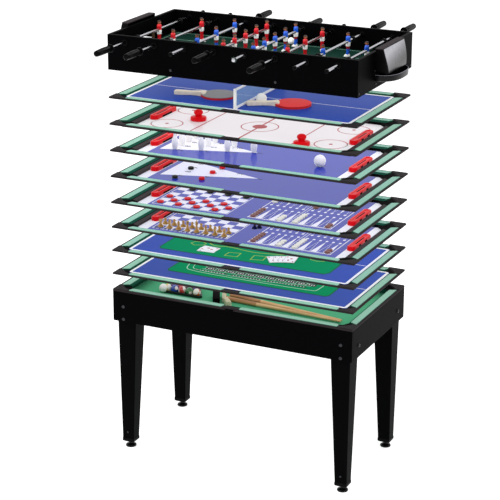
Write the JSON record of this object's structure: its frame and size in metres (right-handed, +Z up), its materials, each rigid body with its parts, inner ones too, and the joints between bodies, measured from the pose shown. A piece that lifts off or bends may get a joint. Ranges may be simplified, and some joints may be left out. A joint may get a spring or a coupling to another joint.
{
  "type": "multi game table",
  "caption": "Black table on four tapered legs with a pool bed and railed game boards lifted apart in a stack under a table football box with handled rods.",
  "frame": {"origin": "on the floor, under the middle of the table", "axes": "+X along the length to the right, -Y towards the front, +Z up"},
  "size_m": [1.3966, 1.17, 2.054],
  "materials": {
    "black_board": "satin black laminate on fibreboard",
    "green_cushion": "green cloth cushions between a dark plastic rim and caps",
    "bed_cloth": "green felt",
    "blue_board": "printed blue board",
    "violet_board": "glossy printed playing field",
    "white_board": "glossy printed playing field",
    "pitch_green": "dark green printed board",
    "black_plastic": "moulded black plastic",
    "black_rubber": "black rubber",
    "rod_chrome": "chromed tube with moulded men, handle and collars",
    "net_white": "white netting and tape",
    "bat_rubber": "red rubber on a wooden blade and handle",
    "rack_black": "black triangle with glossy coloured balls",
    "cue_wood": "varnished wood"
  },
  "bodies": {
    "base": {"apron_front": "black_board", "apron_back": "black_board", "apron_left": "black_board", "apron_right": "black_board", "base_rail": "green_cushion", "pool_bed": "bed_cloth", "ball_rack": "rack_black", "cues": "cue_wood", "leg_front_left": "black_board", "leg_front_right": "black_board", "leg_back_right": "black_board", "leg_back_left": "black_board"},
    "levelling_foot_front_left": {"foot_front_left": "black_rubber"},
    "levelling_foot_front_right": {"foot_front_right": "black_rubber"},
    "levelling_foot_back_right": {"foot_back_right": "black_rubber"},
    "levelling_foot_back_left": {"foot_back_left": "black_rubber"},
    "craps_layer": {"craps_rail": "green_cushion", "craps_board": "blue_board"},
    "cards_layer": {"cards_rail": "green_cushion", "cards_board": "blue_board"},
    "chess_layer": {"chess_rail": "green_cushion", "chess_board": "violet_board"},
    "draughts_layer": {"draughts_rail": "green_cushion", "draughts_board": "violet_board"},
    "shuffle_layer": {"shuffle_rail": "green_cushion", "shuffle_board": "violet_board"},
    "bowling_layer": {"bowling_rail": "green_cushion", "bowling_board": "violet_board"},
    "hockey_layer": {"hockey_rail": "green_cushion", "hockey_board": "white_board"},
    "tennis_layer": {"tennis_rail": "green_cushion", "tennis_board": "blue_board", "net": "net_white", "bat_left": "bat_rubber", "bat_right": "bat_rubber"},
    "football_box": {"box_wall_front": "black_board", "box_wall_back": "black_board", "box_wall_left": "black_board", "box_wall_right": "black_board", "pitch": "pitch_green", "goal_box_left": "black_plastic", "goal_box_right": "black_plastic", "ball_tray_left": "black_plastic", "ball_tray_right": "black_plastic"},
    "rod_slide_1": {"bumper_1": "black_rubber"},
    "rod_spin_1": {"rod_1": "rod_chrome"},
    "rod_slide_2": {"bumper_2": "black_rubber"},
    "rod_spin_2": {"rod_2": "rod_chrome"},
    "rod_slide_3": {"bumper_3": "black_rubber"},
    "rod_spin_3": {"rod_3": "rod_chrome"},
    "rod_slide_4": {"bumper_4": "black_rubber"},
    "rod_spin_4": {"rod_4": "rod_chrome"},
    "rod_slide_5": {"bumper_5": "black_rubber"},
    "rod_spin_5": {"rod_5": "rod_chrome"},
    "rod_slide_6": {"bumper_6": "black_rubber"},
    "rod_spin_6": {"rod_6": "rod_chrome"},
    "rod_slide_7": {"bumper_7": "black_rubber"},
    "rod_spin_7": {"rod_7": "rod_chrome"},
    "rod_slide_8": {"bumper_8": "black_rubber"},
    "rod_spin_8": {"rod_8": "rod_chrome"}
  },
  "joints": [
    {"name": "craps_lower", "type": "slide", "parent": "base", "child": "craps_layer", "axis": [0, 0, 1], "range_m": [-0.06, 0]},
    {"name": "cards_lower", "type": "slide", "parent": "craps_layer", "child": "cards_layer", "axis": [0, 0, 1], "range_m": [-0.092, 0]},
    {"name": "chess_lower", "type": "slide", "parent": "cards_layer", "child": "chess_layer", "axis": [0, 0, 1], "range_m": [-0.083, 0]},
    {"name": "draughts_lower", "type": "slide", "parent": "chess_layer", "child": "draughts_layer", "axis": [0, 0, 1], "range_m": [-0.038, 0]},
    {"name": "shuffle_lower", "type": "slide", "parent": "draughts_layer", "child": "shuffle_layer", "axis": [0, 0, 1], "range_m": [-0.094, 0]},
    {"name": "bowling_lower", "type": "slide", "parent": "shuffle_layer", "child": "bowling_layer", "axis": [0, 0, 1], "range_m": [-0.092, 0]},
    {"name": "hockey_lower", "type": "slide", "parent": "bowling_layer", "child": "hockey_layer", "axis": [0, 0, 1], "range_m": [-0.024, 0]},
    {"name": "tennis_lower", "type": "slide", "parent": "hockey_layer", "child": "tennis_layer", "axis": [0, 0, 1], "range_m": [-0.08, 0]},
    {"name": "football_lower", "type": "slide", "parent": "tennis_layer", "child": "football_box", "axis": [0, 0, 1], "range_m": [-0.08, 0]},
    {"name": "slide_1", "type": "slide", "parent": "football_box", "child": "rod_slide_1", "axis": [0, 1, 0], "range_m": [-0.085, 0.085]},
    {"name": "spin_1", "type": "hinge", "parent": "rod_slide_1", "child": "rod_spin_1", "pos_m": [-0.518, 0, 2.01], "axis": [0, 1, 0], "continuous": true},
    {"name": "slide_2", "type": "slide", "parent": "football_box", "child": "rod_slide_2", "axis": [0, 1, 0], "range_m": [-0.1, 0.1]},
    {"name": "spin_2", "type": "hinge", "parent": "rod_slide_2", "child": "rod_spin_2", "pos_m": [-0.37, 0, 2.01], "axis": [0, 1, 0], "continuous": true},
    {"name": "slide_3", "type": "slide", "parent": "football_box", "child": "rod_slide_3", "axis": [0, 1, 0], "range_m": [-0.08, 0.08]},
    {"name": "spin_3", "type": "hinge", "parent": "rod_slide_3", "child": "rod_spin_3", "pos_m": [-0.222, 0, 2.01], "axis": [0, 1, 0], "continuous": true},
    {"name": "slide_4", "type": "slide", "parent": "football_box", "child": "rod_slide_4", "axis": [0, 1, 0], "range_m": [-0.04, 0.04]},
    {"name": "spin_4", "type": "hinge", "parent": "rod_slide_4", "child": "rod_spin_4", "pos_m": [-0.074, 0, 2.01], "axis": [0, 1, 0], "continuous": true},
    {"name": "slide_5", "type": "slide", "parent": "football_box", "child": "rod_slide_5", "axis": [0, 1, 0], "range_m": [-0.04, 0.04]},
    {"name": "spin_5", "type": "hinge", "parent": "rod_slide_5", "child": "rod_spin_5", "pos_m": [0.074, 0, 2.01], "axis": [0, 1, 0], "continuous": true},
    {"name": "slide_6", "type": "slide", "parent": "football_box", "child": "rod_slide_6", "axis": [0, 1, 0], "range_m": [-0.08, 0.08]},
    {"name": "spin_6", "type": "hinge", "parent": "rod_slide_6", "child": "rod_spin_6", "pos_m": [0.222, 0, 2.01], "axis": [0, 1, 0], "continuous": true},
    {"name": "slide_7", "type": "slide", "parent": "football_box", "child": "rod_slide_7", "axis": [0, 1, 0], "range_m": [-0.1, 0.1]},
    {"name": "spin_7", "type": "hinge", "parent": "rod_slide_7", "child": "rod_spin_7", "pos_m": [0.37, 0, 2.01], "axis": [0, 1, 0], "continuous": true},
    {"name": "slide_8", "type": "slide", "parent": "football_box", "child": "rod_slide_8", "axis": [0, 1, 0], "range_m": [-0.085, 0.085]},
    {"name": "spin_8", "type": "hinge", "parent": "rod_slide_8", "child": "rod_spin_8", "pos_m": [0.518, 0, 2.01], "axis": [0, 1, 0], "continuous": true},
    {"name": "level_front_left", "type": "slide", "parent": "base", "child": "levelling_foot_front_left", "axis": [0, 0, -1], "range_m": [0, 0.012]},
    {"name": "level_front_right", "type": "slide", "parent": "base", "child": "levelling_foot_front_right", "axis": [0, 0, -1], "range_m": [0, 0.012]},
    {"name": "level_back_right", "type": "slide", "parent": "base", "child": "levelling_foot_back_right", "axis": [0, 0, -1], "range_m": [0, 0.012]},
    {"name": "level_back_left", "type": "slide", "parent": "base", "child": "levelling_foot_back_left", "axis": [0, 0, -1], "range_m": [0, 0.012]}
  ]
}
